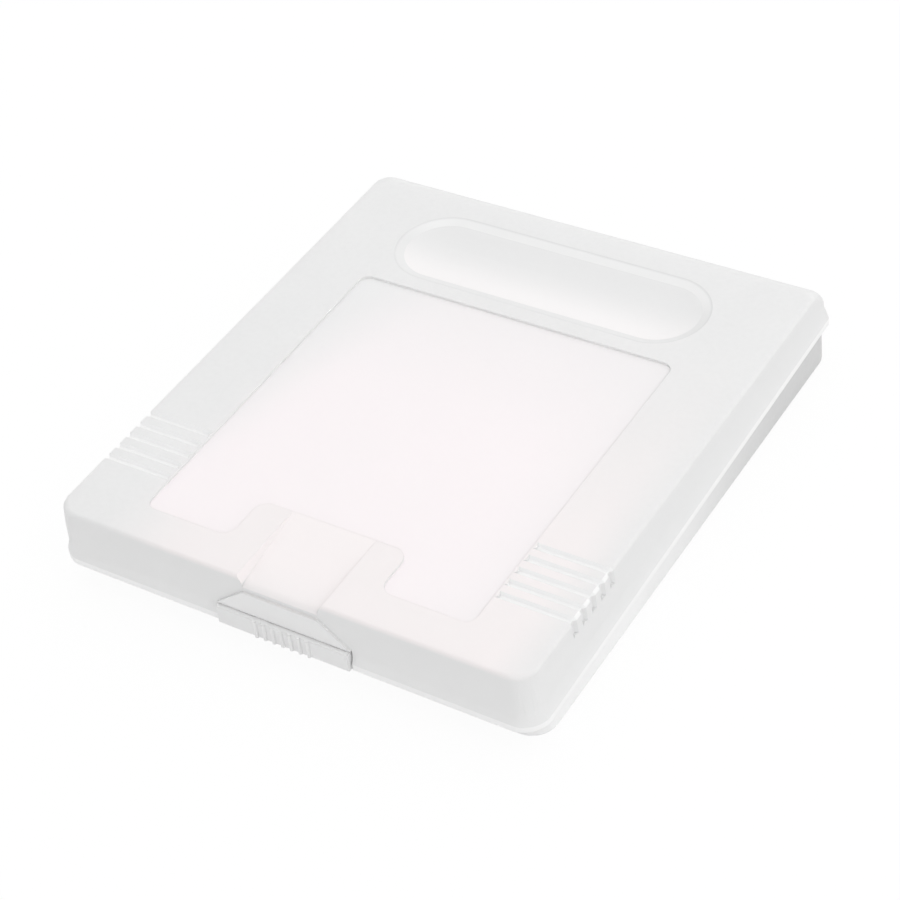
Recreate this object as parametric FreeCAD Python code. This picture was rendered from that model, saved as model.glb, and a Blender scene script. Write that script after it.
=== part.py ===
"""Clamshell case for a game cartridge: a tray, a lid, and the thin web along the back that hinges them.

Millimetres, +X to the right, +Y to the hinge, +Z up. The origin is on the table, under the middle of
the closed case.
"""
import FreeCAD, Part
import math
import os

V = FreeCAD.Vector

# Overall size of the closed case
case_width = 63.2        # across the bead round the lid's rim
case_length = 72.2       # from the ribs on the finger tab to the back of the hinge web
case_height = 10.2

# Walls
wall = 1.0               # side and back walls of tray and lid, front wall of the lid
floor_thickness = 1.0
top_thickness = 1.0
lid_lean = 0.35          # the lid's sides and front lean in by this much from rim to top
edge_round = 0.45        # outer round between the lid's top and its sides and front
back_round = 3.0         # the same at the back
inner_round = 0.4        # the same edge inside
foot_round = 0.5         # round under the tray's outer edge
corner_front = 2.6       # upright corners of the lid, in plan
corner_back = 1.6
tray_corner_front = 3.0
tray_corner_back = 3.0

# The parting plane slopes up from the front wall to the hinge
parting_front = 2.65
lid_back_height = 5.1    # depth of the lid at the hinge
parting_gap = 0.12

# Bead round the lid's rim
bead_reach = 0.6         # out from the side walls
bead_reach_end = 0.3     # out from the front and back walls
bead_height = 0.75

# Hinge web
web_length = 46.0
web_thickness = 0.35
web_bend = 0.3           # inner radius of the closed fold
web_end_gap = 0.4        # room past each end of the web in the bead

# Tray inside
tray_step = 0.1          # the tray's side walls stand this far outside the lid's walls
lap_gap = 0.25           # room between the lid's walls and what stands inside them
lap_height = 1.4         # how far the tray's front wall and ribs reach up into the lid
front_wall = 0.9         # front wall of the tray
front_wall_end = 4.0     # the raised front wall stops this far from the lid's sides
rib_count = 3            # locating ribs on each side wall
rib_pitch = 20.0
rib_width = 1.2
bay_width = 57.8         # between the ribs, room for the cartridge

# Catch in the middle of the front
ramp_width = 11.0        # thumb ramp on the lid's top
ramp_flank = 0.6         # its sides slope in by this much
ramp_length = 10.0
ramp_depth = 1.0         # where the ramp reaches the front wall
ramp_bulge = 0.25        # crown of the curve from the ramp to the lip
ramp_margin = 0.8        # wall on each side of the ramp's underside
lip_drop = 2.0           # the lip starts this far under the top
lip_start = 0.05         # and stands this far proud of the rim there
lip_reach = 0.15         # at its lower edge it is this far proud of the rim
lip_height = 3.0
lip_width = 17.6         # along its lower edge
tab_end_gap = 0.2        # room past each end of the finger tab
tab_top_gap = 0.3        # room under the lip
tab_reach = 0.65         # the tab's face stands this far proud of the lid's rim
grip_count = 7           # upright grip ribs on the tab
grip_pitch = 1.15
grip_radius = 0.25
tongue_lap = 1.4         # the tray's catch tongue reaches past each end of the lip, behind the wall
tongue_thickness = 0.8
tongue_set_back = 0.3    # behind the tray's front wall
tongue_rise = 1.85       # above the tab
snap_length = 13.0       # half-round beads that hold the lid shut
snap_radius = 0.22
snap_below_top = 0.35    # tongue's bead under the tongue's top
snap_step = 0.75         # lid's bead under the tongue's bead

# Recesses and grooves in the lid's top
label_width = 42.6
label_length = 45.1
label_front = 5.05       # from the front wall to the label's front edge
label_depth = 0.25
label_corner = 1.3
notch_width = 19.5       # the label's front edge steps back round the catch
notch_depth = 6.3
notch_corner = 1.7
pill_length = 42.3
pill_width = 12.7
pill_back = 12.1         # from the back wall to the pill's middle line
pill_step = 0.45         # depth of the pill's sloping edge
pill_slope = 1.2         # width of that edge
pill_scoop = 0.5         # hollow of its floor below that
pill_margin = 0.8        # wall round the pill's underside
groove_count = 5
groove_pitch = 1.98
groove_front = 10.0      # from the front wall to the first groove
groove_width = 1.1
groove_bed = 0.35        # flat at the bottom of a groove
groove_depth = 0.3
groove_margin = 0.05     # the flanks are drawn on this far past the surface
groove_land = 0.15       # between the label and the grooves
groove_drop = 2.2        # how far the grooves run down the sides

# Derived places
web_reach = web_bend + web_thickness
rim_half = case_width / 2 - bead_reach
front_y = -case_length / 2 + tab_reach + grip_radius
back_y = case_length / 2 - web_reach
parting_back = case_height - lid_back_height
hinge_z = parting_back
web_middle = web_bend + web_thickness / 2
hinge_y = back_y + web_middle * math.sqrt((math.pi / 2) ** 2 - 1)
lip_edge_z = case_height - lip_drop
lip_z = lip_edge_z - lip_height
tab_top = lip_z - tab_top_gap
tongue_top = tab_top + tongue_rise
tongue_half = lip_width / 2 + tongue_lap
lean_slope = lid_lean / (case_height - parting_front)
ramp_crease_y = front_y + lid_lean + ramp_depth
ramp_start_y = ramp_crease_y + ramp_length
tray_half = rim_half + tray_step
tray_front = front_y + lean_slope * (tongue_top - parting_front) + wall + lap_gap
pill_y = back_y - pill_back
label_front_y = front_y + label_front
clear = case_length      # half-size of the blocks that trim the case
same = 1e-4              # two heights or points this close count as one
corner_least = 0.2       # smallest upright corner inside a wall
fillet_share = 0.9       # a round takes at most this much of the corner or the height that it needs


def parting_at(y):
    """Height of the parting plane at a distance y along the case."""
    return parting_front + (parting_back - parting_front) * (y - front_y) / (back_y - front_y)


def rounded_wire(corners, z):
    """Closed wire at height z through corners given as (x, y, radius), with an arc at each."""
    arcs = []
    for index, (x, y, radius) in enumerate(corners):
        before = corners[index - 1]
        after = corners[(index + 1) % len(corners)]
        point = V(x, y, z)
        to_before = (V(before[0], before[1], z) - point).normalize()
        to_after = (V(after[0], after[1], z) - point).normalize()
        half = to_before.getAngle(to_after) / 2
        inward = (to_before + to_after).normalize()
        centre = point + inward * (radius / math.sin(half))
        setback = radius / math.tan(half)
        arcs.append((point + to_before * setback, centre - inward * radius, point + to_after * setback))
    edges = []
    for index, arc in enumerate(arcs):
        edges.append(Part.Arc(*arc).toShape())
        following = arcs[(index + 1) % len(arcs)][0]
        if arc[2].distanceToPoint(following) > same:
            edges.append(Part.LineSegment(arc[2], following).toShape())
    return Part.Wire(edges)


def leaning_block(lower, upper):
    """Block with flat faces between two level rectangles, each (half width, front, back, height)."""
    half_low, front_low, back_low, z_low = lower
    half_high, front_high, back_high, z_high = upper
    low_corner = (-half_low, z_low, -back_low, -back_high, -half_high)
    high_corner = (half_low, z_high, -front_low, -front_high, half_high)
    block = Part.makeWedge(*low_corner, *high_corner)
    block.rotate(V(0, 0, 0), V(1, 0, 0), 90)
    return block


def rectangle(half_width, front, back, radius_front, radius_back, z):
    """Rounded rectangle at height z, symmetrical about the middle line."""
    corners = [
        (-half_width, front, radius_front),
        (half_width, front, radius_front),
        (half_width, back, radius_back),
        (-half_width, back, radius_back),
    ]
    return rounded_wire(corners, z)


def box(x_low, x_high, y_low, y_high, z_low, z_high):
    """Upright block between two corners."""
    return Part.makeBox(x_high - x_low, y_high - y_low, z_high - z_low, V(x_low, y_low, z_low))


def parted_block(low, high):
    """Block wider than the case whose underside and top follow the parting plane at two offsets."""
    outline = [
        V(-clear, -clear, parting_at(-clear) + low),
        V(-clear, clear, parting_at(clear) + low),
        V(-clear, clear, parting_at(clear) + high),
        V(-clear, -clear, parting_at(-clear) + high),
    ]
    return Part.Face(Part.makePolygon(outline + outline[:1])).extrude(V(2 * clear, 0, 0))


def edges_at(shape, height):
    """Edges that lie level at one height."""
    return [edge for edge in shape.Edges if all(abs(v.Z - height) < same for v in edge.Vertexes)]


def lean_at(z):
    """How far the lid's sides and front have leaned in at a height, from the rim at the front."""
    return lean_slope * (z - parting_front)


def lid_half(z):
    """Half width of the lid's outer walls at a height."""
    return rim_half - lean_at(z)


def lid_front(z):
    """Outer face of the lid's front wall at a height."""
    return front_y + lean_at(z)


def lid_block(inset, inset_end, z_top, top_round, top_back_round):
    """Block from the table up, moved in from the lid's outer sides and ends, its upright corners rounded."""
    back = back_y - inset_end
    levels = []
    for z in (0.0, z_top):
        levels.append((lid_half(z) - inset, lid_front(z) + inset_end, back, z))
    block = leaning_block(*levels)
    if top_round:
        limit = back - top_back_round - same
        behind = [edge for edge in edges_at(block, z_top) if edge.CenterOfMass.y > limit]
        block = block.makeFillet(top_back_round, behind)
        others = [edge for edge in edges_at(block, z_top) if edge.CenterOfMass.y < limit]
        block = block.makeFillet(top_round, others)
    radii = [max(corner - inset, corner_least) for corner in (corner_front, corner_back)]
    plan = rectangle(rim_half - inset, front_y + inset_end, back, *radii, 0.0)
    return block.common(Part.Face(plan).extrude(V(0, 0, case_height)))


def rim_bead():
    """Bead round the rim, with a gap for the hinge web."""
    bead = lid_block(-bead_reach, -bead_reach_end, case_height, 0.0, 0.0)
    bead = bead.common(parted_block(parting_gap / 2, parting_gap / 2 + bead_height))
    hinge_room = web_length / 2 + web_end_gap
    return bead.cut(box(-hinge_room, hinge_room, back_y, back_y + clear, 0.0, case_height))


def lid_shell():
    """Top, walls and rim bead of the lid, hollow below."""
    skirt = lid_block(0.0, 0.0, case_height, edge_round, back_round)
    skirt = skirt.common(parted_block(parting_gap / 2, clear))
    inside = lid_block(wall, wall, case_height - top_thickness, inner_round, back_round - wall)
    return skirt.fuse(rim_bead()).cut(inside)


def hinge_slot():
    """Room across the back walls for the fold of the hinge web."""
    half = web_length / 2
    return box(-half, half, back_y - 2 * wall, back_y + clear, hinge_z - web_bend, hinge_z + web_bend)


def pill_wire(grown, z):
    """Outline of the pill recess at height z, moved out all round."""
    half_length = pill_length / 2 + grown
    half_width = pill_width / 2 + grown
    corners = [
        (-half_length, pill_y - half_width, half_width),
        (half_length, pill_y - half_width, half_width),
        (half_length, pill_y + half_width, half_width),
        (-half_length, pill_y + half_width, half_width),
    ]
    return rounded_wire(corners, z)


def pill_block(grown, z_low, z_high):
    """Upright block with round ends, at the pill recess."""
    return Part.Face(pill_wire(grown, z_low)).extrude(V(0, 0, z_high - z_low))


def pill_boss():
    """The pill's underside, which stands below the lid's top."""
    under = case_height - top_thickness
    return pill_block(pill_margin, under - pill_step - pill_scoop, under + top_thickness / 2)


def pill_recess():
    """Pill with a sloping edge and a scooped floor: a round trough with ball ends."""
    edge_z = case_height - pill_step
    half_width = pill_width / 2 - pill_slope
    radius = (half_width ** 2 + pill_scoop ** 2) / (2 * pill_scoop)
    axis_z = edge_z + radius - pill_scoop
    straight = (pill_length - pill_width) / 2
    trough = Part.makeCylinder(radius, 2 * straight, V(-straight, pill_y, axis_z), V(1, 0, 0))
    for x in (-straight, straight):
        trough = trough.fuse(Part.makeSphere(radius, V(x, pill_y, axis_z)))
    trough = trough.common(pill_block(-pill_slope, edge_z - pill_scoop, edge_z))
    lower = pill_wire(-pill_slope, edge_z)
    upper = pill_wire(pill_slope, case_height + pill_step)
    return trough.fuse(Part.makeLoft([lower, upper], True, True))


def label_recess():
    """Shallow field for a label, with a notch round the catch."""
    half = label_width / 2
    back = label_front_y + label_length
    notch_half = notch_width / 2
    notch_back = label_front_y + notch_depth
    corners = [
        (-half, label_front_y, label_corner),
        (-notch_half, label_front_y, notch_corner),
        (-notch_half, notch_back, notch_corner),
        (notch_half, notch_back, notch_corner),
        (notch_half, label_front_y, notch_corner),
        (half, label_front_y, label_corner),
        (half, back, label_corner),
        (-half, back, label_corner),
    ]
    field = Part.Face(rounded_wire(corners, case_height - label_depth))
    return field.extrude(V(0, 0, label_depth + clear))


def groove_section(side, y, depth):
    """Outline across the case of what a groove takes off, this deep under the top and the side."""
    top = case_height - depth
    low = case_height - groove_drop
    centre_x = lid_half(case_height) - edge_round
    centre_z = case_height - edge_round
    bend = edge_round - depth
    slant = bend * math.sqrt(0.5)
    far = lid_half(0.0) + wall
    start = V(side * (label_width / 2 + groove_land), y, case_height + wall)
    top_start = V(side * (label_width / 2 + groove_land + depth), y, top)
    top_end = V(side * centre_x, y, top)
    over = V(side * (centre_x + slant), y, centre_z + slant)
    side_start = V(side * (centre_x + bend), y, centre_z)
    side_end = V(side * (lid_half(low) - depth), y, low + depth)
    out_low = V(side * far, y, low)
    out_high = V(side * far, y, case_height + wall)
    return Part.Wire([
        Part.LineSegment(start, top_start).toShape(),
        Part.LineSegment(top_start, top_end).toShape(),
        Part.Arc(top_end, over, side_start).toShape(),
        Part.LineSegment(side_start, side_end).toShape(),
        Part.LineSegment(side_end, out_low).toShape(),
        Part.LineSegment(out_low, out_high).toShape(),
        Part.LineSegment(out_high, start).toShape(),
    ])


def groove(side, y):
    """Groove across the border of the top, over the edge and down the side, with sloping flanks."""
    brim = groove_width / 2
    bed = groove_bed / 2
    sections = [(-brim, -groove_margin), (-bed, groove_depth), (bed, groove_depth), (brim, -groove_margin)]
    wires = [groove_section(side, y + offset, depth) for offset, depth in sections]
    return Part.makeLoft(wires, True, True)


def grip_grooves():
    """The rows of grooves on both sides."""
    first = front_y + groove_front
    rows = [first + groove_pitch * index for index in range(groove_count)]
    return [groove(side, y) for side in (-1, 1) for y in rows]


def ramp_boss():
    """The ramp's underside, which stands below the lid's top and meets the front wall."""
    half = ramp_width / 2 + ramp_margin
    middle = case_height - top_thickness / 2
    under = case_height - top_thickness
    in_wall = lid_front(case_height) + wall / 2
    outline = [
        V(-half, ramp_start_y, middle),
        V(-half, ramp_start_y, under),
        V(-half, ramp_crease_y, under - ramp_depth),
        V(-half, in_wall, under - ramp_depth),
        V(-half, in_wall, middle),
    ]
    return Part.Face(Part.makePolygon(outline + outline[:1])).extrude(V(2 * half, 0, 0))


def ramp_trough():
    """Room between the ramp's sloping sides, which stand upright below its front end."""
    half = ramp_width / 2
    half_floor = half - ramp_flank
    floor = case_height - ramp_depth
    outline = [
        V(-half, -clear, case_height),
        V(-half_floor, -clear, floor),
        V(-half_floor, -clear, 0.0),
        V(half_floor, -clear, 0.0),
        V(half_floor, -clear, floor),
        V(half, -clear, case_height),
        V(half, -clear, case_height + clear),
        V(-half, -clear, case_height + clear),
    ]
    return Part.Face(Part.makePolygon(outline + outline[:1])).extrude(V(0, 2 * clear, 0))


def thumb_ramp():
    """What is taken off the top over the catch: a shallow ramp that rolls over to the lip."""
    left = -ramp_width / 2
    above = case_height + wall
    start = V(left, ramp_start_y, case_height)
    crease = V(left, ramp_crease_y, case_height - ramp_depth)
    edge = V(left, front_y - lip_start, lip_edge_z)
    chord = edge - crease
    crown = (crease + edge) * 0.5 + V(0, chord.z, -chord.y).normalize() * ramp_bulge
    ahead = V(left, -clear, lip_edge_z)
    above_ahead = V(left, -clear, above)
    above_start = V(left, start.y, above)
    outline = [
        Part.LineSegment(start, crease).toShape(),
        Part.Arc(crease, crown, edge).toShape(),
        Part.LineSegment(edge, ahead).toShape(),
        Part.LineSegment(ahead, above_ahead).toShape(),
        Part.LineSegment(above_ahead, above_start).toShape(),
        Part.LineSegment(above_start, start).toShape(),
    ]
    return Part.Face(Part.Wire(outline)).extrude(V(ramp_width, 0, 0)).common(ramp_trough())


def lip_frame(width, reach, z):
    """Level rectangle through the catch lip, from the middle of the wall to its face."""
    half = width / 2
    face = front_y - reach
    inner = front_y + lid_lean + wall / 2
    outline = [V(-half, face, z), V(half, face, z), V(half, inner, z), V(-half, inner, z)]
    return Part.makePolygon(outline + outline[:1])


def catch_lip():
    """Lip that flares out and widens from the ramp's edge to the fingernail ledge."""
    upper = lip_frame(ramp_width - 2 * ramp_flank, lip_start, lip_edge_z)
    lower = lip_frame(lip_width, lip_reach, lip_z)
    return Part.makeLoft([upper, lower], True, True)


def tab_window():
    """Cut in the lid's front wall under the lip, where the finger tab stands."""
    half = lip_width / 2
    return box(-half, half, front_y - clear, tray_front, -clear, lip_z)


def snap_bead(y, z):
    """Half-round bead along the catch; the other half is inside its wall."""
    return Part.makeCylinder(snap_radius, snap_length, V(-snap_length / 2, y, z), V(1, 0, 0))


def make_lid():
    """The lid with its recesses, grooves and catch."""
    bead_z = tongue_top - snap_below_top - snap_step
    inner_face = lid_front(bead_z) + wall
    added = [pill_boss(), ramp_boss(), catch_lip(), snap_bead(inner_face, bead_z)]
    removed = [hinge_slot(), pill_recess(), label_recess(), thumb_ramp(), tab_window()]
    return lid_shell().fuse(added).cut(removed + grip_grooves())


def tray_shell():
    """Floor and walls of the tray, up to the parting plane."""
    plan = rectangle(tray_half, tray_front, back_y, tray_corner_front, tray_corner_back, 0.0)
    block = Part.Face(plan).extrude(V(0, 0, case_height))
    block = block.makeFillet(min(foot_round, floor_thickness * fillet_share), edges_at(block, 0.0))
    block = block.common(parted_block(-clear, -parting_gap / 2))
    inside = Part.Face(
        rectangle(
            tray_half - wall,
            tray_front + front_wall,
            back_y - wall,
            max(tray_corner_front - max(wall, front_wall), corner_least),
            max(tray_corner_back - wall, corner_least),
            floor_thickness,
        )
    )
    return block.cut(inside.extrude(V(0, 0, case_height)))


def raised_front():
    """Front wall of the tray above the parting plane, inside the lid's front wall."""
    half = lid_half(case_height) - wall - front_wall_end
    top = parting_at(tray_front) + lap_height
    return box(-half, half, tray_front, tray_front + front_wall, floor_thickness / 2, top)


def locating_ribs():
    """Ribs inside the side walls that centre the cartridge and reach up into the lid."""
    ribs = []
    first = -rib_pitch * (rib_count - 1) / 2
    inner = bay_width / 2
    for index in range(rib_count):
        middle = first + rib_pitch * index
        low_y = middle - rib_width / 2
        high_y = middle + rib_width / 2
        shoulder = parting_at(low_y) - parting_gap
        top = parting_at(middle) + lap_height
        outer = lid_half(top) - wall - lap_gap
        for side in (-1, 1):
            lower = sorted((side * inner, side * (tray_half - wall / 2)))
            upper = sorted((side * inner, side * outer))
            ribs.append(box(*lower, low_y, high_y, floor_thickness / 2, shoulder))
            ribs.append(box(*upper, low_y, high_y, floor_thickness / 2, top))
    return ribs


def catch_tongue():
    """Upright tongue behind the lip, with the bead that the lid snaps under."""
    face = tray_front + tongue_set_back
    tongue = box(-tongue_half, tongue_half, face, face + tongue_thickness, floor_thickness / 2, tongue_top)
    return tongue.fuse(snap_bead(face, tongue_top - snap_below_top))


def finger_tab():
    """Tab through the window in the lid's front wall, with upright grip ribs."""
    half = lip_width / 2 - tab_end_gap
    face = front_y - tab_reach
    back = tray_front + front_wall
    tab = box(-half, half, face, back, parting_front, tab_top)
    first = -grip_pitch * (grip_count - 1) / 2
    grips = []
    for index in range(grip_count):
        foot = V(first + grip_pitch * index, face, parting_front)
        grips.append(Part.makeCylinder(grip_radius, tab_top - parting_front, foot))
    return tab.fuse(grips)


def make_tray():
    """The tray with its ribs and its half of the catch."""
    added = [raised_front(), catch_tongue(), finger_tab()] + locating_ribs()
    return tray_shell().cut(hinge_slot()).fuse(added)


def make_web():
    """The hinge web, folded as it is when the case is shut."""
    outer = Part.makeCylinder(web_reach, web_length, V(-web_length / 2, back_y, hinge_z), V(1, 0, 0))
    inner = Part.makeCylinder(web_bend, web_length, V(-web_length / 2, back_y, hinge_z), V(1, 0, 0))
    half = web_length / 2
    behind = box(-half, half, back_y, back_y + clear, 0.0, case_height)
    return outer.cut(inner).common(behind)


def save(name, shape):
    """Write one piece as a STEP file."""
    solids = shape.removeSplitter().Solids
    if len(solids) != 1 or not solids[0].isValid():
        raise RuntimeError(name + " is not one valid solid")
    print(name, "volume", round(solids[0].Volume, 1), "faces", len(solids[0].Faces))
    solids[0].exportStep("parts/" + name + ".step")


os.makedirs("parts", exist_ok=True)
save("base_tray", make_tray())
save("lid", make_lid())
save("hinge_web", make_web())
print("lid turns on the line y", round(hinge_y, 3), "z", round(hinge_z, 3))
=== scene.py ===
"""Frosted clamshell case for one game cartridge, dressed and lit for its picture.

Metres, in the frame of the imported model: +X to the right, +Y to the hinge, +Z up.
"""

import logging
import math
from dataclasses import dataclass
from enum import Enum
from typing import Any, Optional, Union

import bmesh
import bpy
from mathutils import Euler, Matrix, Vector


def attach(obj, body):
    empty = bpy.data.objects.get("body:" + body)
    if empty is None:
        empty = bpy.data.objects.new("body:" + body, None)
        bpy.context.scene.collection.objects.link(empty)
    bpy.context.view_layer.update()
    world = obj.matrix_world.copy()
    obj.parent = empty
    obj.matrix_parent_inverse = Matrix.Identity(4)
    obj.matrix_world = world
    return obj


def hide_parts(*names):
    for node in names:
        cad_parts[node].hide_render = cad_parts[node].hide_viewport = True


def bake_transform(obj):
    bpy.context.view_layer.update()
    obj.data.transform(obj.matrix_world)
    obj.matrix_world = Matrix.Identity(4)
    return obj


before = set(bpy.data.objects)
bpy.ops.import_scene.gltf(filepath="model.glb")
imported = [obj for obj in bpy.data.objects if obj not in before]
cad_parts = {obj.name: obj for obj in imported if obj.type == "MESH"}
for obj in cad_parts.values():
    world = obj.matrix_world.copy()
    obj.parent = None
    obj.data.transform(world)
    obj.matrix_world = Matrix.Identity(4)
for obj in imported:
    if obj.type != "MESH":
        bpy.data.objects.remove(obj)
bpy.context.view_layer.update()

MM = 0.001

# Shading
EDGE_ROUND = 0.00012      # round that every edge seems to have, in metres
IOR = 1.49
WHITE = (1.0, 1.0, 1.0, 1.0)
BROAD_WAVES = 60.0        # broad drifts of the painted light, to a metre
CLOUD_WAVES = 95.0        # cloudy streaks, to a metre
FLECK_SHARE = 0.3         # flecks for each grain along a line
CLOUD_RANGE = (0.35, 0.7)       # noise of the clearest and of the cloudiest places
FLECK_RANGE = (0.4, 0.65)       # noise of the plainest and of the most flecked places
PAINTED_LIGHT_DRIFT = (0.82, 0.36)            # least share of the painted light, and how much it drifts
BUMP = 0.6
LEAN_FROM = -20.0         # the painted light's left end leans from here to the back, in millimetres
FINE_GRAIN = (6000.0, 0.000003)     # grains to a metre and their depth, in metres
DEEP_GRAIN = (6000.0, 0.000005)

# Tolerances, in millimetres
MERGE = 0.002             # points of a mesh this close are one
CUT_MERGE = 0.01          # a cut runs through points this close
PULL_MERGE = 0.004        # points of a rounded corner this close are one
SKIN = 0.02               # depth that still counts as the surface
WALL_NEAR = 0.2           # this close to the outline lies on the wall
ARC_NEAR = 0.5            # the same inside a corner's arc
CORNER_SKIN = 0.3         # depth that still counts as a round corner's skin
LEDGE_CLEAR = 0.1         # this far above the bead is clear of it
LEDGE_NEAR = 0.03         # this far under its upper side still counts as that

# How far normals point up, and how far faces turn
LEVEL = 0.9               # a level face points up by more
SLOPING = 0.5             # a sloping face points up by more
UPRIGHT = 0.3             # an upright face points up or down by less
FLAT_DEG = 0.4            # faces that turn by less are one

Number = Union[int, float]
Colour = tuple[float, float, float]
log = logging.getLogger("cartridge_case")


class Zone(Enum):
    """Areas of the moulding that left the mould with their own texture, or that carry their own painted
    light or shade.
    """

    FROST = "frosted_shell"
    WINDOW = "label_window"
    SCOOP = "pill_scoop"
    PAD = "thumb_pad"
    SLOPE = "pill_edge"
    STEP = "steps_and_grooves"
    BEAD = "rim_bead"
    LIP = "catch_lip"
    TRAY = "frosted_tray"
    TAB = "finger_tab"


class Value:
    """A shader socket that can stand in a Python expression."""

    def __init__(self, graph: "Graph", socket: bpy.types.NodeSocket) -> None:
        """Wrap one output socket of a graph."""
        self.graph = graph
        self.socket = socket

    def _math(self, operation: str, first: Any, second: Any) -> "Value":
        """Add one Math node."""
        return self.graph.node("ShaderNodeMath", {"operation": operation}, {0: first, 1: second})

    def __add__(self, other: Any) -> "Value":
        """Sum."""
        return self._math("ADD", self, other)

    def __radd__(self, other: Any) -> "Value":
        """Sum with a number in front."""
        return self._math("ADD", other, self)

    def __sub__(self, other: Any) -> "Value":
        """Difference."""
        return self._math("SUBTRACT", self, other)

    def __rsub__(self, other: Any) -> "Value":
        """Difference with a number in front."""
        return self._math("SUBTRACT", other, self)

    def __mul__(self, other: Any) -> "Value":
        """Product."""
        return self._math("MULTIPLY", self, other)

    def __rmul__(self, other: Any) -> "Value":
        """Product with a number in front."""
        return self._math("MULTIPLY", other, self)


class Graph:
    """The node tree of one material or world."""

    def __init__(self, tree: bpy.types.NodeTree) -> None:
        """Take over a tree and empty it.

        Args:
            tree: Node tree of a material or a world.
        """
        self.tree = tree
        tree.nodes.clear()

    def node(self, kind: str, settings: Optional[dict[str, Any]] = None,
             inputs: Optional[dict[Union[int, str], Any]] = None, output: Union[int, str] = 0) -> Value:
        """Add a node, set it up and link or fill its sockets.

        Args:
            kind: Type name of the node.
            settings: Properties that are set before the sockets.
            inputs: Values or links by socket name or number.
            output: Name or number of the socket that is handed back.

        Returns:
            The chosen output, wrapped for expressions.
        """
        made = self.tree.nodes.new(kind)
        for name, value in (settings or {}).items():
            setattr(made, name, value)
        for key, value in (inputs or {}).items():
            if isinstance(value, Value):
                self.tree.links.new(value.socket, made.inputs[key])
            else:
                made.inputs[key].default_value = value
        return Value(self, made.outputs[output]) if made.outputs else Value(self, None)

    def noise(self, place: Value, scale: Number, detail: Number, roughness: Number) -> Value:
        """Add a Noise Texture on a place, with this many waves to its unit."""
        return self.node("ShaderNodeTexNoise", {},
                         {"Vector": place, "Scale": scale, "Detail": detail, "Roughness": roughness})

    def mix(self, share: Any, first: Any, second: Any) -> Value:
        """Blend two colours by a share of the second, each a tuple or a wrapped socket."""
        colours = [c if isinstance(c, Value) else (*c, 1.0) for c in (first, second)]
        return self.node("ShaderNodeMix", {"data_type": "RGBA"},
                         {0: share, 6: colours[0], 7: colours[1]}, output=2)


def remap(graph: Graph, value: Value, low: Number, high: Number, kind: str = "LINEAR") -> Value:
    """Stretch a range of values to 0 to 1, clamped at its ends.

    Args:
        graph: Graph that gets the node.
        value: Value to stretch.
        low: What becomes 0.
        high: What becomes 1, above or below the other end.
        kind: Course between the ends, LINEAR or SMOOTHSTEP.

    Returns:
        The stretched value.
    """
    return graph.node("ShaderNodeMapRange", {"clamp": True, "interpolation_type": kind},
                      {"Value": value, "From Min": low, "From Max": high, "To Min": 0.0, "To Max": 1.0})


@dataclass(frozen=True)
class PaintedLightSpread:
    """Where painted light lies on the plastic, in millimetres: it rises from the first of a pair to the
    second.

    Attributes:
        left: From the left.
        right: From the right.
        back: From the back.
        lean: How much the left end moves to the right for each millimetre to the back.
    """

    left: tuple[float, float] = (-25.0, -12.0)
    right: tuple[float, float] = (32.0, 25.0)
    back: tuple[float, float] = (24.0, -22.0)
    lean: float = 0.0

    def share(self, graph: Graph, x: Value, y: Value) -> Value:
        """Work out how much of the painted light a place gets.

        Args:
            graph: Graph that gets the nodes.
            x: Place to the right, in metres.
            y: Place to the back.

        Returns:
            The share, from 0 to 1.
        """
        leant = x - self.lean * (y - LEAN_FROM * MM)
        left = remap(graph, leant, self.left[0] * MM, self.left[1] * MM, "SMOOTHSTEP")
        right = remap(graph, x, self.right[0] * MM, self.right[1] * MM, "SMOOTHSTEP")
        back = remap(graph, y, self.back[0] * MM, self.back[1] * MM, "SMOOTHSTEP")
        return left * right * back


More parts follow.
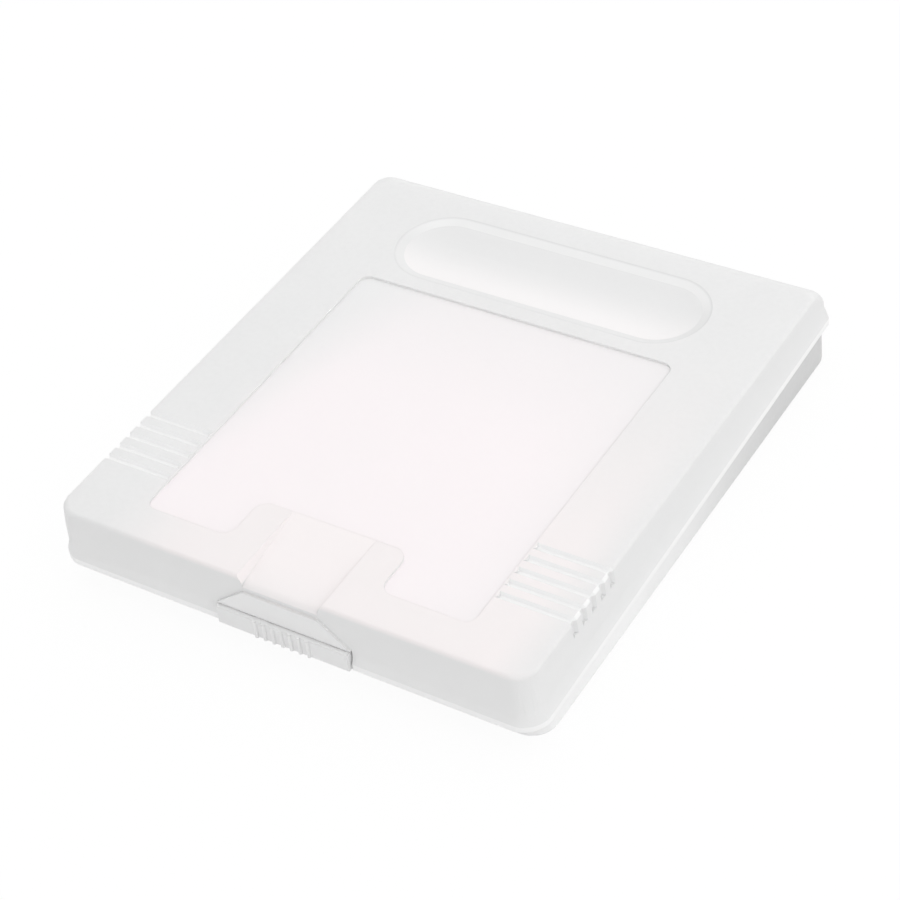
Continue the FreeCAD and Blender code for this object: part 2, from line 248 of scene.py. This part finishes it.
@dataclass(frozen=True)
class FrostedFinish:
    """Milky moulded plastic with a spark-eroded grain, its colour carrying painted light and shade.

    Attributes:
        name: Name of the material.
        tint: Colour of the plastic, made lighter or darker in some zones as painted light or shade.
        shade: Colour of its cloudier streaks.
        glow: Colour of the painted light, laid where the spread puts it.
        wall: Colour just past the first fade: painted shade below an upper edge, where a finish uses it.
        rim: Colour at the end of the second fade: painted light low on the walls, where a finish uses it.
        fade: Heights where the first fade starts, the second starts and the second ends, in millimetres.
        spread: Where the painted light lies.
        smooth: Roughness of the smoothest spots.
        rough: Roughness of the roughest spots.
        grain: Grains of the surface to a metre.
        grain_depth: Depth of the grain, in metres.
        clearness: Share of light that passes through.
    """

    name: str
    tint: Colour
    shade: Colour
    glow: Colour
    wall: Colour
    rim: Colour
    fade: tuple[float, float, float] = (10.1, 9.6, 3.0)
    spread: PaintedLightSpread = PaintedLightSpread()
    smooth: float = 0.34
    rough: float = 0.50
    grain: float = 5200.0
    grain_depth: float = 0.00002
    clearness: float = 0.2

    def build(self) -> bpy.types.Material:
        """Make the material.

        Returns:
            A material with its grain, clouds and flecks on Object coordinates.
        """
        material = bpy.data.materials.new(self.name)
        material.use_nodes = True
        graph = Graph(material.node_tree)
        place = graph.node("ShaderNodeTexCoord", output="Object")
        x, y, z = (graph.node("ShaderNodeSeparateXYZ", {}, {"Vector": place}, output=axis)
                   for axis in "XYZ")
        broad = graph.noise(place, BROAD_WAVES, 1.0, 0.4)
        cloud = graph.noise(place, CLOUD_WAVES, 3.0, 0.55)
        grain = graph.noise(place, self.grain, 2.0, 0.6)
        fleck = graph.noise(place, self.grain * FLECK_SHARE, 1.0, 0.5)
        clouded = remap(graph, cloud, *CLOUD_RANGE)
        flecked = remap(graph, fleck, *FLECK_RANGE)
        # Painted light: the glow colour laid over the places that the spread picks, drifting broadly.
        painted_light_share = self.spread.share(graph, x, y) * (PAINTED_LIGHT_DRIFT[0] + PAINTED_LIGHT_DRIFT[1] * broad)
        # Painted shade just under an upper edge, then painted light lower down the walls, both by height.
        past = remap(graph, z, self.fade[0] * MM, self.fade[1] * MM)
        low = remap(graph, z, self.fade[1] * MM, self.fade[2] * MM)
        colour = graph.mix(clouded * 0.6 + flecked * 0.4, self.tint, self.shade)
        painted_light_and_shade_by_height = graph.mix(clouded * 0.5, graph.mix(low, self.wall, self.rim), self.shade)
        colour = graph.mix(past, graph.mix(painted_light_share, colour, self.glow), painted_light_and_shade_by_height)
        roughness = self.smooth + (self.rough - self.smooth) * (grain * 0.5 + flecked * 0.5)
        rounded = graph.node("ShaderNodeBevel", {"samples": 6}, {"Radius": EDGE_ROUND})
        bump = graph.node("ShaderNodeBump", {}, {"Strength": BUMP, "Distance": self.grain_depth,
                                                 "Height": grain + fleck * 0.5, "Normal": rounded})
        shader = graph.node("ShaderNodeBsdfPrincipled", {},
                            {"Base Color": colour, "Roughness": roughness, "IOR": IOR,
                             "Transmission Weight": self.clearness, "Normal": bump})
        graph.node("ShaderNodeOutputMaterial", {}, {"Surface": shader})
        return material


def grey(value: float) -> Colour:
    """The same share of red, green and blue."""
    return (value, value, value)


# Painted light spread evenly over the whole case.
ALL_OVER = PaintedLightSpread((-40.0, -39.0), (40.0, 39.0), (60.0, 59.0))
FINISHES: dict[Zone, FrostedFinish] = {
    # Frosted shell: painted highlight over its middle, painted shade under the top edge, painted light low
    # on the walls.
    Zone.FROST: FrostedFinish(
        "frosted shell", grey(0.855), grey(0.83), (0.94, 0.895, 0.895), grey(0.82), grey(0.87)),
    # Label window: lighter tint and faintly pink glow are painted light over most of the window.
    Zone.WINDOW: FrostedFinish(
        "label window", grey(0.87), (0.86, 0.855, 0.857), (0.985, 0.93, 0.943), grey(0.90), grey(0.90),
        (8.0, 7.0, 6.0), PaintedLightSpread((-29.0, -17.0), (40.0, 10.0), (33.0, -8.0), 0.25), 0.32, 0.40, *FINE_GRAIN),
    # Pill scoop: painted light at its front, fading toward its back, in place of the scoop's shading.
    Zone.SCOOP: FrostedFinish(
        "pill scoop", grey(0.84), grey(0.83), (0.95, 0.93, 0.93), grey(0.84), grey(0.84),
        (8.0, 7.0, 6.0), PaintedLightSpread((-40.0, -30.0), (40.0, 20.0), (26.0, 18.0)), 0.32, 0.40, *FINE_GRAIN),
    # Thumb pad: lighter as painted light, and darker down its front slope as painted shade.
    Zone.PAD: FrostedFinish(
        "thumb pad", (0.97, 0.93, 0.93), (0.96, 0.92, 0.92), (0.975, 0.925, 0.925), grey(0.81), grey(0.81),
        (9.5, 8.4, 7.0), ALL_OVER, 0.32, 0.40, *FINE_GRAIN),
    # Pill edge: painted highlight along its back, and a thin line of painted shade at its upper edge.
    Zone.SLOPE: FrostedFinish(
        "pill edge", grey(0.84), grey(0.83), grey(0.92), grey(0.72), grey(0.72),
        (10.08, 10.22, 10.5), PaintedLightSpread((-40.0, -30.0), (40.0, 20.0), (23.0, 28.0)), 0.30, 0.38, *FINE_GRAIN),
    # Steps and grooves: lighter as painted light against the shade in these narrow recesses.
    Zone.STEP: FrostedFinish(
        "steps and grooves", grey(0.95), grey(0.94), grey(0.96), grey(0.95), grey(0.95),
        (8.0, 7.0, 6.0), ALL_OVER, 0.30, 0.38, *FINE_GRAIN),
    # Rim bead: painted highlight along the bead's outer face and on the finger tab's top.
    Zone.BEAD: FrostedFinish(
        "rim bead", grey(0.97), grey(0.95), grey(0.97), grey(0.97), grey(0.97),
        (2.0, 1.0, 0.0), ALL_OVER, 0.30, 0.38, *FINE_GRAIN),
    # Catch lip: lighter than the shell as painted light, more so toward its lower edge.
    Zone.LIP: FrostedFinish(
        "catch lip", grey(0.88), grey(0.87), grey(0.89), grey(0.88), grey(0.91),
        (8.2, 8.0, 5.3), ALL_OVER, 0.32, 0.42, *DEEP_GRAIN),
    # Frosted tray: darker tint as painted shade, with painted light toward its front.
    Zone.TRAY: FrostedFinish(
        "frosted tray", grey(0.67), grey(0.66), grey(0.97), grey(0.70), grey(0.70),
        (-1.0, -2.0, -3.0), PaintedLightSpread((-40.0, -39.0), (40.0, 39.0), (28.0, -20.0))),
    # Finger tab: lighter than the tray, as painted light against the shade under the catch lip.
    Zone.TAB: FrostedFinish(
        "finger tab", grey(0.86), grey(0.84), grey(0.87), grey(0.86), grey(0.86),
        (-1.0, -2.0, -3.0), ALL_OVER, 0.32, 0.42, *DEEP_GRAIN),
}


@dataclass
class Shell:
    """One half of the moulding, taken from its solid and dressed by zones.

    Attributes:
        node: Name of the solid that it stands for.
        body: Body that it moves with.
        name: Name of the finished piece.
        crease_deg: Edges that turn by more than this stay crisp.
    """

    node: str
    body: str
    name: str
    crease_deg: float = 28.0

    def zone_of(self, centre: Vector, normal: Vector) -> Zone:
        """Say which texture and painted light or shade a face has, from its middle in millimetres and its
        normal.
        """
        return Zone.FROST

    def shape_up(self, shape: bmesh.types.BMesh) -> None:
        """Add the soft forms that the solid leaves out."""

    def in_corner(self, edge: bmesh.types.BMEdge) -> bool:
        """Tell whether an edge lies in a round upright corner."""
        return False

    def build(self) -> bpy.types.Object:
        """Copy the solid's mesh, merge it, soften it and mark its crisp edges.

        Returns:
            The finished piece, riding on its body.
        """
        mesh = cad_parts[self.node].data.copy()
        mesh.name = self.name
        mesh.materials.clear()
        shape = bmesh.new()
        shape.from_mesh(mesh)
        bmesh.ops.remove_doubles(shape, verts=shape.verts, dist=MERGE * MM)
        self.shape_up(shape)
        bmesh.ops.dissolve_limit(shape, angle_limit=math.radians(FLAT_DEG), verts=shape.verts,
                                 edges=shape.edges, delimit={"NORMAL"})
        zones = list(Zone)
        for face in shape.faces:
            face.smooth = True
            face.material_index = zones.index(self.zone_of(face.calc_center_median() / MM, face.normal))
        crease = math.radians(self.crease_deg)
        for edge in shape.edges:
            same = len({face.material_index for face in edge.link_faces}) == 1
            limit = 2 * crease if self.in_corner(edge) else crease
            edge.smooth = same and len(edge.link_faces) == 2 and edge.calc_face_angle(0.0) < limit
        shape.to_mesh(mesh)
        shape.free()
        piece = bpy.data.objects.new(self.name, mesh)
        bpy.context.scene.collection.objects.link(piece)
        even = piece.modifiers.new("even shading", "WEIGHTED_NORMAL")
        even.keep_sharp = True
        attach(piece, self.body)
        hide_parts(self.node)
        log.info("%s: %d faces on %s", self.name, len(mesh.polygons), self.body)
        return piece

    def dress(self, piece: bpy.types.Object, materials: dict[Zone, bpy.types.Material]) -> None:
        """Give the piece one material to each zone, in the order of the zones."""
        for zone in Zone:
            piece.data.materials.append(materials[zone])


@dataclass
class Lid(Shell):
    """The lid, with its label window, pill scoop, thumb pad and rim bead.

    Attributes:
        top: Height of the lid's top, in millimetres, as the sizes below.
        label_depth: Depth of the label window.
        label_half: Half width over the label window's walls.
        label_front: Front of the label window.
        pad_half: Half width of the thumb pad.
        pad_back: Where the thumb pad starts.
        pad_low: How far down the thumb pad reaches.
        pad_up: Least upward part of the normals on the thumb pad.
        scoop_front: Front of the pill scoop.
        scoop_back: Back of its edge.
        scoop_half: Half its length.
        scoop_step: Depth of its edge.
        scoop_low: Depth under its floor.
        groove_front: Front of the grip grooves.
        groove_back: Back of the grip grooves.
        groove_deep: Depth under the grip grooves.
        groove_up: Least upward part of the normals in the grip grooves.
        bead_half: Half width over the walls inside the bead.
        bead_front: Front wall inside the bead.
        bead_proud: How far the bead stands out of a corner at least.
        lip_half: Half width of the catch lip.
        lip_back: Where the catch lip stands out of the front wall.
        lip_inset: How far the flare reaches in over each end of the catch lip.
        rim_half: Half width over the walls at the rim.
        front: Front wall at the rim.
        back: Back wall.
        rim: Height of the rim in front.
        lean: How far the walls lean in from rim to top.
        edge_round: Round of the top's edge at the sides and in front.
        back_round: Round of the top's edge at the back.
        corner_rounds: Round of the upright corners in front and at the back.
        corner_steps: Facets of such a corner.
        corner_reach: How far round such a corner the faces are cut.
        level_cuts: Depths under the top at which such a corner gets a ring of points.
        ledge_front: Height of the bead's upper side in front.
        ledge_back: Height of the bead's upper side at the back.
        hinge_half: Half width of the gap in the bead at the hinge.
        flare_side: Height of the bead's flare at the sides.
        flare_end: Height of the bead's flare in front and at the back.
    """

    node: str = "lid"
    body: str = "cover"
    name: str = "lid_shell"
    top: float = 10.2
    label_depth: float = 0.25
    label_half: float = 21.5
    label_front: float = -30.4
    pad_half: float = 5.5
    pad_back: float = -23.8
    pad_low: float = 8.1
    pad_up: float = 0.2
    scoop_front: float = 16.5
    scoop_back: float = 30.5
    scoop_half: float = 21.6
    scoop_step: float = 0.44
    scoop_low: float = 1.0
    groove_front: float = -26.0
    groove_back: float = -15.5
    groove_deep: float = 0.35
    groove_up: float = -0.1
    bead_half: float = 31.08
    bead_front: float = -35.3
    bead_proud: float = 0.15
    lip_half: float = 9.0
    lip_back: float = -35.1
    lip_inset: float = 0.7
    rim_half: float = 31.0
    front: float = -35.2
    back: float = 35.45
    rim: float = 2.65
    lean: float = 0.35
    edge_round: float = 0.45
    back_round: float = 3.0
    corner_rounds: tuple[float, float] = (2.5, 1.6)
    corner_steps: int = 8
    corner_reach: float = 1.0
    level_cuts: tuple[float, ...] = (3.0, 2.0, 1.1, 0.45, 0.25, 0.1)
    ledge_front: float = 3.46
    ledge_back: float = 5.91
    hinge_half: float = 23.9
    flare_side: float = 1.5
    flare_end: float = 0.8

    def outline(self, z: float) -> tuple[float, float, float]:
        """Say where the lid's outer walls stand at a height.

        Args:
            z: Height, in millimetres.

        Returns:
            Half width, front and back.
        """
        lean = self.lean * (z - self.rim) / (self.top - self.rim)
        rounds = []
        for radius in (self.edge_round, self.back_round):
            rise = max(z - (self.top - radius), 0.0)
            rounds.append(radius - math.sqrt(max(radius ** 2 - rise ** 2, 0.0)))
        return (self.rim_half - lean - rounds[0], self.front + lean + rounds[0], self.back - rounds[1])

    def ledge(self, y: float) -> float:
        """Height of the bead's upper side at a place along the lid, in millimetres."""
        rise = self.ledge_back - self.ledge_front
        return self.ledge_front + rise * (y - self.front) / (self.back - self.front)

    def corner_centre(self, z: float, side: int, end: int) -> Vector:
        """Find the middle of an upright corner's arc.

        Args:
            z: Height, in millimetres.
            side: 1 for the right, -1 for the left.
            end: 1 for the back, -1 for the front.

        Returns:
            The place of the middle, to the right and to the back.
        """
        half, front, back = self.outline(z)
        radius = self.corner_rounds[end > 0]
        return Vector((side * (half - radius), (back if end > 0 else front) - end * radius))

    def from_corner(self, x: float, y: float, z: float) -> tuple[Vector, float]:
        """Say how a place lies to the upright corner in its quarter of the lid.

        Args:
            x: Place to the right, in millimetres.
            y: Place to the back.
            z: Height.

        Returns:
            Its distance outwards from the middle of the corner's arc, to the side and to the end, and
            the arc's radius.
        """
        side, end = int(math.copysign(1, x)), int(math.copysign(1, y))
        away = Vector((x, y)) - self.corner_centre(z, side, end)
        return Vector((side * away.x, end * away.y)), self.corner_rounds[end > 0]

    def corner_cuts(self, side: int, end: int) -> list[tuple[Vector, Vector]]:
        """List the planes that cut an upright corner into facets and rings.

        Args:
            side: 1 for the right, -1 for the left.
            end: 1 for the back, -1 for the front.

        Returns:
            A place in millimetres and a normal for each plane.
        """
        cuts = []
        for step in range(2, 2 * self.corner_steps):
            middle = self.corner_centre(self.top - self.back_round * (step % 2), side, end)
            angle = math.pi / 2 * (step // 2) / self.corner_steps
            normal = Vector((-side * math.sin(angle), end * math.cos(angle), 0.0))
            cuts.append((Vector((middle.x, middle.y, 0.0)), normal))
        for drop in self.level_cuts:
            cuts.append((Vector((0.0, 0.0, self.top - drop)), Vector((0.0, 0.0, 1.0))))
        return cuts

    def by_corner(self, face: bmesh.types.BMFace, side: int, end: int) -> bool:
        """Tell whether a face comes near an upright corner and reaches above the bead.

        Args:
            face: Face of the lid's mesh.
            side: 1 for the right, -1 for the left.
            end: 1 for the back, -1 for the front.

        Returns:
            True where both hold.
        """
        centre = self.corner_centre(self.top, side, end)
        near = any(side * (vert.co.x / MM - centre.x) > -self.corner_reach
                   and end * (vert.co.y / MM - centre.y) > -self.corner_reach for vert in face.verts)
        return near and any(vert.co.z / MM > self.ledge(vert.co.y / MM) + LEDGE_CLEAR for vert in face.verts)

    def round_corner(self, shape: bmesh.types.BMesh, side: int, end: int) -> None:
        """Round one upright corner of the lid above its bead.

        Args:
            shape: Mesh of the lid.
            side: 1 for the right, -1 for the left.
            end: 1 for the back, -1 for the front.
        """
        for place, normal in self.corner_cuts(side, end):
            near = [face for face in shape.faces if self.by_corner(face, side, end)]
            parts = [*near, *(e for f in near for e in f.edges), *(v for f in near for v in f.verts)]
            bmesh.ops.bisect_plane(shape, geom=list(dict.fromkeys(parts)), dist=CUT_MERGE * MM,
                                   plane_co=place * MM, plane_no=normal)
        radius = self.corner_rounds[end > 0]
        pulled = []
        for vert in shape.verts:
            x, y, z = vert.co / MM
            centre = self.corner_centre(z, side, end)
            away = Vector((x, y)) - centre
            above = z - self.ledge(y)
            if min(side * away.x, end * away.y) > 0.0 and away.length > radius and above > LEDGE_CLEAR / 2:
                share = min(above / (above + max(self.top - self.edge_round - z, 0.0)), 1.0)
                place = centre + away * (1.0 + share * (radius / away.length - 1.0))
                vert.co = Vector((place.x, place.y, z)) * MM
                pulled.append(vert)
        bmesh.ops.remove_doubles(shape, verts=pulled, dist=PULL_MERGE * MM)

    def beyond(self, x: float, y: float, z: float) -> tuple[float, bool]:
        """Measure how far a place lies outside the wall.

        Args:
            x: Place to the right, in millimetres.
            y: Place to the back.
            z: Height.

        Returns:
            The distance, below 0 inside, and whether the place lies in a corner.
        """
        half, front, back = self.outline(z)
        out, radius = self.from_corner(x, y, z)
        if min(out) > 0.0:
            return out.length - radius, True
        return max(abs(x) - half, y - back, front - y), False

    def on_wall(self, x: float, y: float, z: float) -> bool:
        """Tell whether a place in millimetres lies on the outer wall, and not on the bead or inside."""
        distance, cornered = self.beyond(x, y, z)
        return -(ARC_NEAR if cornered else WALL_NEAR) < distance < WALL_NEAR

    def flare_bead(self, shape: bmesh.types.BMesh) -> None:
        """Turn the upper side of the bead into a slope that runs out of the wall.

        Args:
            shape: Mesh of the lid.
        """
        for vert in shape.verts:
            x, y, z = vert.co / MM
            above = z - self.ledge(y)
            clear_half = self.lip_half - self.lip_inset if y < 0.0 else self.hinge_half
            low_enough = -LEDGE_NEAR < above < 2 * self.flare_side
            if abs(x) < clear_half or not low_enough or not self.on_wall(x, y, z):
                continue
            out = self.from_corner(x, y, z)[0]
            out = Vector((max(out.x, 0.0), max(out.y, 0.0)))
            share = out.x / out.length if out.length else 1.0
            rise = self.flare_end + (self.flare_side - self.flare_end) * share
            rise *= max(1.0 - max(above, 0.0) / (2 * rise), 0.0)
            lean = self.lean * rise / (self.top - self.rim)
            vert.co += Vector((-math.copysign(lean * share, x), 0.0, rise)) * MM

    def in_corner(self, edge: bmesh.types.BMEdge) -> bool:
        """Tell whether an edge lies in a round upright corner.

        Args:
            edge: Edge of the lid's mesh.

        Returns:
            True where both its ends lie there.
        """
        for vert in edge.verts:
            out, radius = self.from_corner(*(vert.co / MM))
            if min(out) < -WALL_NEAR or out.length < radius - CORNER_SKIN:
                return False
        return True

    def shape_up(self, shape: bmesh.types.BMesh) -> None:
        """Round the upper corners and flare the bead.

        Args:
            shape: Mesh of the lid.
        """
        for side in (-1, 1):
            for end in (-1, 1):
                self.round_corner(shape, side, end)
        self.flare_bead(shape)

    def zone_of(self, centre: Vector, normal: Vector) -> Zone:
        """Say which texture and painted light or shade a face has.

        Args:
            centre: Middle of the face, in millimetres.
            normal: Normal of the face.

        Returns:
            Its zone.
        """
        depth = self.top - centre.z
        across = abs(centre.x)
        before_pill = centre.y < self.scoop_front
        if normal.z > LEVEL and abs(depth - self.label_depth) < SKIN and before_pill:
            return Zone.WINDOW
        if across < self.pad_half and centre.y < self.pad_back and normal.z > self.pad_up:
            if SKIN < depth < self.top - self.pad_low:
                return Zone.PAD
        if centre.y > self.scoop_front and across < self.scoop_half and normal.z > SLOPING and depth > SKIN:
            if depth < self.scoop_step and centre.y < self.scoop_back:
                return Zone.SLOPE
            if self.scoop_step <= depth < self.scoop_low:
                return Zone.SCOOP
        # Groove and step walls get the steps finish, painted light against their shade.
        if SKIN < depth < self.groove_deep and self.groove_front < centre.y < self.groove_back:
            if normal.z > self.groove_up:
                return Zone.STEP
        if SKIN < depth < self.label_depth and abs(normal.z) < SLOPING and before_pill:
            if across < self.label_half and centre.y > self.label_front:
                return Zone.STEP
        # The catch lip gets its own finish, lighter as painted light.
        if centre.y < self.lip_back and across < self.lip_half:
            return Zone.LIP
        # Bead faces get the bead finish, a painted highlight.
        if abs(normal.z) < UPRIGHT:
            if across > self.bead_half or centre.y < self.bead_front:
                return Zone.BEAD
            if centre.z < self.ledge(centre.y) and self.beyond(*centre)[0] > self.bead_proud:
                return Zone.BEAD
        return Zone.FROST


@dataclass
class Tray(Shell):
    """The tray under the lid, with its finger tab.

    Attributes:
        tab_back: Where the finger tab starts, in millimetres, as the sizes below.
        tab_root: How far back its top reaches.
        tab_half: Half its width.
        tab_top: Height of its top.
        tab_rise: How much closer its top comes to the catch lip.
    """

    node: str = "base_tray"
    body: str = "tray"
    name: str = "tray_shell"
    tab_back: float = -34.9
    tab_root: float = -33.0
    tab_half: float = 8.7
    tab_top: float = 4.9
    tab_rise: float = 0.17

    def shape_up(self, shape: bmesh.types.BMesh) -> None:
        """Bring the finger tab's top up to the catch lip, with a fine seam between them.

        Args:
            shape: Mesh of the tray.
        """
        for vert in shape.verts:
            x, y, z = vert.co / MM
            if abs(x) < self.tab_half and y < self.tab_root and abs(z - self.tab_top) < CUT_MERGE:
                vert.co.z += self.tab_rise * MM

    def zone_of(self, centre: Vector, normal: Vector) -> Zone:
        """Say which texture and painted light or shade a face has.

        Args:
            centre: Middle of the face, in millimetres.
            normal: Normal of the face.

        Returns:
            Its zone.
        """
        if centre.y < self.tab_back:
            # The tab's level top gets the bead's painted highlight, its other faces the tab's painted light.
            return Zone.BEAD if normal.z > LEVEL else Zone.TAB
        return Zone.TRAY


@dataclass
class HingeWeb:
    """The thin strip along the back that bends as the lid opens, built here in its closed fold only.

    Attributes:
        half_length: Half its length, in millimetres, as the sizes below.
        bend: Inner radius of the closed fold.
        thickness: Thickness of the strip.
        back: Back walls that it joins.
        height: Height of the fold's middle.
        steps: Facets round the fold.
        crease_deg: Edges that turn by more than this stay crisp.
        name: Name of the finished piece.
    """

    half_length: float = 23.0
    bend: float = 0.3
    thickness: float = 0.35
    back: float = 35.45
    height: float = 5.1
    steps: int = 16
    crease_deg: float = 30.0
    name: str = "hinge_strip"

    def build(self) -> bpy.types.Object:
        """Spin the strip's section half way round the fold.

        Returns:
            The strip, bending between tray and lid.
        """
        shape = bmesh.new()
        low = -self.bend - self.thickness
        corners = [(-self.half_length, low), (self.half_length, low),
                   (self.half_length, -self.bend), (-self.half_length, -self.bend)]
        section = [shape.verts.new((x * MM, self.back * MM, (self.height + z) * MM)) for x, z in corners]
        face = shape.faces.new(section)
        bmesh.ops.spin(shape, geom=[face, *face.edges, *face.verts], axis=(1.0, 0.0, 0.0), angle=math.pi,
                       cent=(0.0, self.back * MM, self.height * MM), steps=self.steps, use_merge=False)
        bmesh.ops.remove_doubles(shape, verts=shape.verts, dist=MERGE * MM)
        bmesh.ops.recalc_face_normals(shape, faces=shape.faces)
        crease = math.radians(self.crease_deg)
        for edge in shape.edges:
            edge.smooth = len(edge.link_faces) == 2 and edge.calc_face_angle(0.0) < crease
        for each in shape.faces:
            each.smooth = True
        mesh = bpy.data.meshes.new(self.name)
        shape.to_mesh(mesh)
        shape.free()
        piece = bpy.data.objects.new(self.name, mesh)
        bpy.context.scene.collection.objects.link(piece)
        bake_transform(piece)
        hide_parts("hinge_web")
        log.info("%s: %d faces between tray and cover", self.name, len(mesh.polygons))
        return piece

    def dress(self, piece: bpy.types.Object, material: bpy.types.Material) -> None:
        """Give the strip its material."""
        piece.data.materials.append(material)


@dataclass(frozen=True)
class Lamp:
    """A soft lamp that hangs over the table and points at the case.

    Attributes:
        name: Name of the lamp.
        place: Where it hangs, in metres, as the sizes below.
        width: Width of its sheet.
        height: Height of its sheet.
        power: Power, in watts.
    """

    name: str
    place: tuple[float, float, float]
    width: float
    height: float
    power: float

    def build(self) -> None:
        """Hang the lamp."""
        data = bpy.data.lights.new(self.name, "AREA")
        data.shape = "RECTANGLE"
        data.size = self.width
        data.size_y = self.height
        data.energy = self.power
        lamp = bpy.data.objects.new(self.name, data)
        lamp.location = self.place
        lamp.rotation_euler = (-Vector(self.place)).to_track_quat("-Z", "Y").to_euler()
        bpy.context.scene.collection.objects.link(lamp)


@dataclass
class Studio:
    """White table, soft light and the camera.

    Attributes:
        eye: Place of the camera, in millimetres.
        turn_deg: Turn of the camera about X, Y and Z.
        lens: Focal length, in millimetres, as the next size.
        sensor: Width of the sensor.
        sky: Strength of the even light from all round.
        lamps: The soft lamps.
        floor_half: Half width of the table, in metres.
        floor_gap: Gap between the case and the table, in metres.
        floor_grey: Shade of the table under its white.
        floor_white: Share of the table that is plain white to the camera.
    """

    eye: tuple[float, float, float] = (127.650, -169.224, 189.495)
    turn_deg: tuple[float, float, float] = (48.1400, 6.4381, 31.5035)
    lens: float = 96.940
    sensor: float = 36.0
    sky: float = 0.9
    lamps: tuple[Lamp, ...] = (Lamp("back softbox", (0.10, 0.35, 0.50), 1.4, 1.0, 2.1),
                               Lamp("side fill", (0.48, -0.34, 0.25), 1.0, 0.8, 1.0))
    floor_half: float = 3.0
    floor_gap: float = 0.00005
    floor_grey: float = 0.9
    floor_white: float = 0.93

    def camera(self) -> None:
        """Put the camera where the picture was taken."""
        data = bpy.data.cameras.new("picture camera")
        data.sensor_width = self.sensor
        data.lens = self.lens
        data.clip_start = 0.01
        camera = bpy.data.objects.new("picture camera", data)
        camera.location = Vector(self.eye) * MM
        camera.rotation_euler = Euler([math.radians(angle) for angle in self.turn_deg])
        bpy.context.scene.collection.objects.link(camera)
        bpy.context.scene.camera = camera

    @staticmethod
    def seen_straight(graph: Graph) -> Value:
        """Tell rays that show the background from light that falls on things.

        Args:
            graph: Graph that gets the nodes.

        Returns:
            One for rays from the camera, a mirror or clear plastic, and nought for other rays.
        """
        camera, glossy, clear = (graph.node("ShaderNodeLightPath", output=name)
                                 for name in ("Is Camera Ray", "Is Glossy Ray", "Is Transmission Ray"))
        mirrored = graph.node("ShaderNodeMath", {"operation": "MAXIMUM"}, {0: glossy, 1: clear})
        return graph.node("ShaderNodeMath", {"operation": "MAXIMUM"}, {0: camera, 1: mirrored})

    def world(self) -> None:
        """Even light from all round, white where it is seen."""
        world = bpy.data.worlds.new("studio")
        bpy.context.scene.world = world
        world.use_nodes = True
        graph = Graph(world.node_tree)
        strength = self.sky + (1.0 - self.sky) * self.seen_straight(graph)
        light = graph.node("ShaderNodeBackground", {}, {"Color": WHITE, "Strength": strength})
        graph.node("ShaderNodeOutputWorld", {}, {"Surface": light})

    def floor(self) -> None:
        """A plain white table top that keeps a soft shadow."""
        shape = bmesh.new()
        bmesh.ops.create_grid(shape, x_segments=1, y_segments=1, size=self.floor_half)
        bmesh.ops.translate(shape, verts=shape.verts, vec=(0.0, 0.0, -self.floor_gap))
        mesh = bpy.data.meshes.new("table_top")
        shape.to_mesh(mesh)
        shape.free()
        table = bpy.data.objects.new("table_top", mesh)
        bpy.context.scene.collection.objects.link(table)
        material = bpy.data.materials.new("white table")
        material.use_nodes = True
        graph = Graph(material.node_tree)
        paint = graph.node("ShaderNodeBsdfDiffuse", {}, {"Color": (*grey(self.floor_grey), 1.0)})
        glow = graph.node("ShaderNodeEmission", {}, {"Color": WHITE, "Strength": 1.0})
        mixed = graph.node("ShaderNodeMixShader", {}, {0: self.seen_straight(graph) * self.floor_white,
                                                       1: paint, 2: glow})
        graph.node("ShaderNodeOutputMaterial", {}, {"Surface": mixed})
        mesh.materials.append(material)

    def build(self) -> None:
        """Set up camera, world, table and lamps."""
        self.camera()
        self.world()
        self.floor()
        for lamp in self.lamps:
            lamp.build()
        bpy.context.scene.view_settings.view_transform = "Standard"
        log.info("studio: %d lamps, sky %.2f", len(self.lamps), self.sky)


def main() -> None:
    """Build the case piece by piece, then the studio."""
    logging.basicConfig(level=logging.INFO, format="%(name)s: %(message)s")
    materials = {zone: finish.build() for zone, finish in FINISHES.items()}
    for shell in (Tray(), Lid()):
        shell.dress(shell.build(), materials)
    web = HingeWeb()
    web.dress(web.build(), materials[Zone.FROST])
    Studio().build()


if __name__ == "__main__":
    main()
